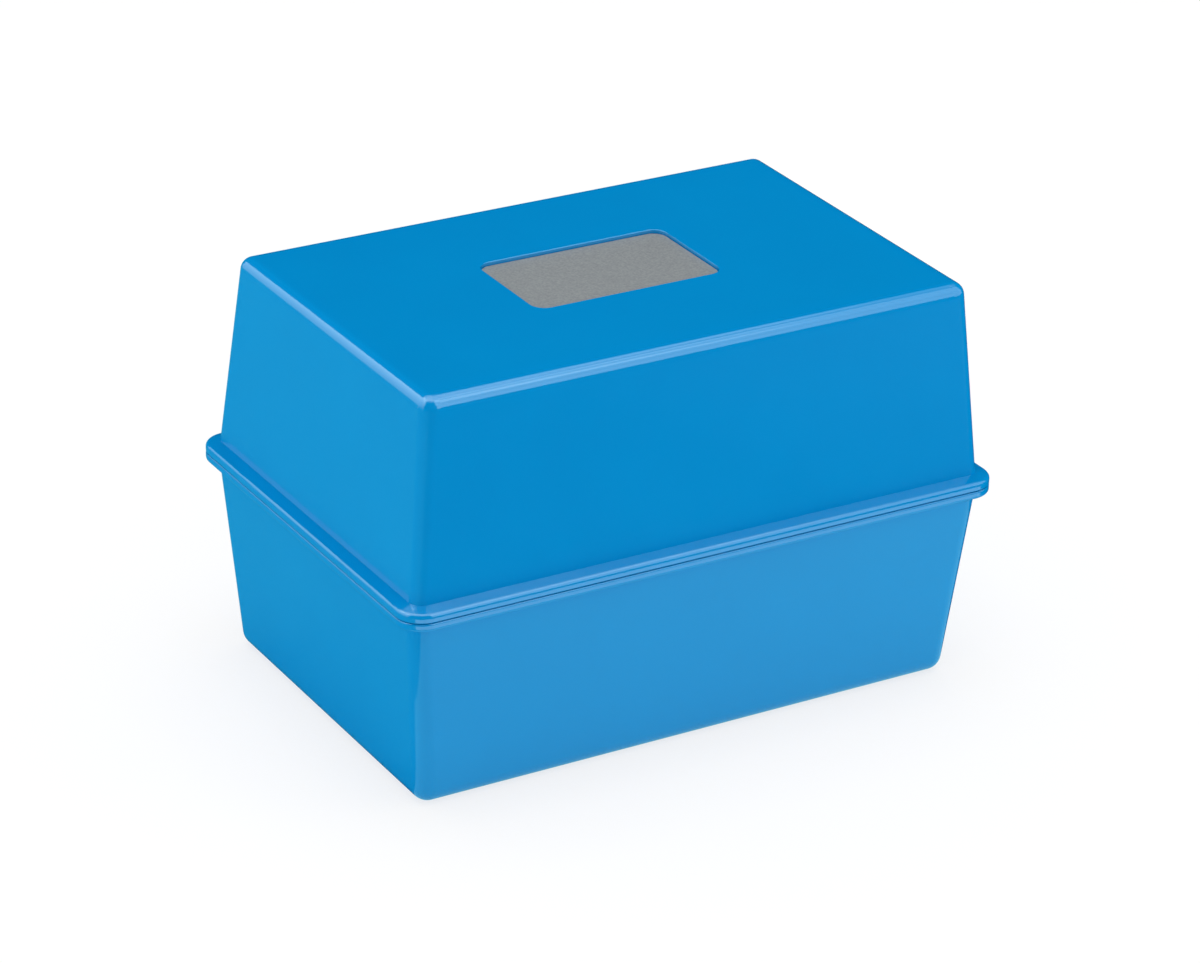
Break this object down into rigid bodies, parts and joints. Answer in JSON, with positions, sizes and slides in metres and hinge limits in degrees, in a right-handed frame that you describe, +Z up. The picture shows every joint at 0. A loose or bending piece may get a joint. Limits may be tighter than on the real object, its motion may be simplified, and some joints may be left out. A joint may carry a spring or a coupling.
{
  "type": "index card box",
  "caption": "Free-standing desk box for index cards: a tapered moulded tray and a matching deep lid that meet at a flanged rim, hinged at the rear, with a silver label recessed in the top.",
  "frame": {"origin": "middle of the flat underside, between the two ends and between the front and rear walls", "axes": "+X along the box's width, +Y to the rear where the hinge is, +Z up"},
  "size_m": [0.153, 0.1078, 0.0981],
  "materials": {
    "moulded_plastic": "smooth injection-moulded polystyrene, semi-gloss blue",
    "label_foil": "satin silver foil, bare",
    "hinge_steel": "drawn wire, plain"
  },
  "bodies": {
    "base": {"base_tray": "moulded_plastic", "hinge_pin_left": "hinge_steel", "hinge_pin_right": "hinge_steel"},
    "lid": {"lid_shell": "moulded_plastic", "label_plate": "label_foil"}
  },
  "joints": [
    {"name": "lid_hinge", "type": "hinge", "parent": "base", "child": "lid", "pos_m": [0, 0.05408, 0.04923], "axis": [-1, 0, 0], "range_deg": [0, 180]}
  ]
}
